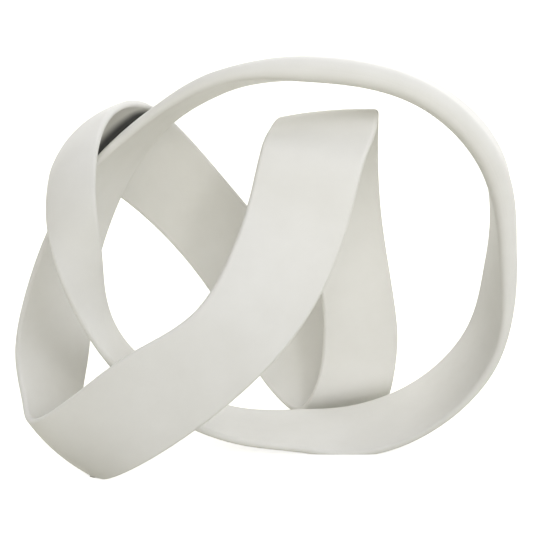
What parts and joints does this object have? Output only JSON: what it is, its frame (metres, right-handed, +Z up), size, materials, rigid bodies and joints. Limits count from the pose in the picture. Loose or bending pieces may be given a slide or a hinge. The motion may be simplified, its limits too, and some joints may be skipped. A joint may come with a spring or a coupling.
{
  "type": "knot sculpture",
  "caption": "Tabletop abstract sculpture: a wide flat metal band bent into a closed knot, matte off-white, standing on a hoop, a heel and a foot.",
  "frame": {"origin": "on the table, under the centre of the overall box", "axes": "+X to the right across the sculpture as pictured, +Y away from the viewer, +Z up"},
  "size_m": [0.3272, 0.1824, 0.2646],
  "materials": {
    "powder_coat": "matte off-white powder coat over cast aluminium",
    "dowel_steel": "ground steel",
    "rubber": "light grey rubber"
  },
  "bodies": {
    "root": {"lower_hoop": "powder_coat", "right_hoop": "powder_coat", "upper_hoop": "powder_coat", "left_drop": "powder_coat", "heel_bend": "powder_coat", "front_sweep": "powder_coat", "crown_bend": "powder_coat", "rear_drop": "powder_coat", "foot_curl": "powder_coat", "rear_diagonal": "powder_coat", "shoulder_bend": "powder_coat", "left_sweep": "powder_coat", "pin_left_to_lower_far": "dowel_steel", "pin_left_to_lower_near": "dowel_steel", "pin_lower_to_right_far": "dowel_steel", "pin_lower_to_right_near": "dowel_steel", "pin_right_to_upper_far": "dowel_steel", "pin_right_to_upper_near": "dowel_steel", "pin_upper_to_drop_far": "dowel_steel", "pin_upper_to_drop_near": "dowel_steel", "pin_drop_to_heel_far": "dowel_steel", "pin_drop_to_heel_near": "dowel_steel", "pin_heel_to_front_far": "dowel_steel", "pin_heel_to_front_near": "dowel_steel", "pin_front_to_crown_far": "dowel_steel", "pin_front_to_crown_near": "dowel_steel", "pin_crown_to_rear_far": "dowel_steel", "pin_crown_to_rear_near": "dowel_steel", "pin_rear_to_foot_far": "dowel_steel", "pin_rear_to_foot_near": "dowel_steel", "pin_foot_to_diagonal_far": "dowel_steel", "pin_foot_to_diagonal_near": "dowel_steel", "pin_diagonal_to_shoulder_far": "dowel_steel", "pin_diagonal_to_shoulder_near": "dowel_steel", "pin_shoulder_to_left_far": "dowel_steel", "pin_shoulder_to_left_near": "dowel_steel", "heel_pad": "rubber", "hoop_pad": "rubber", "foot_pad": "rubber"}
  },
  "joints": []
}
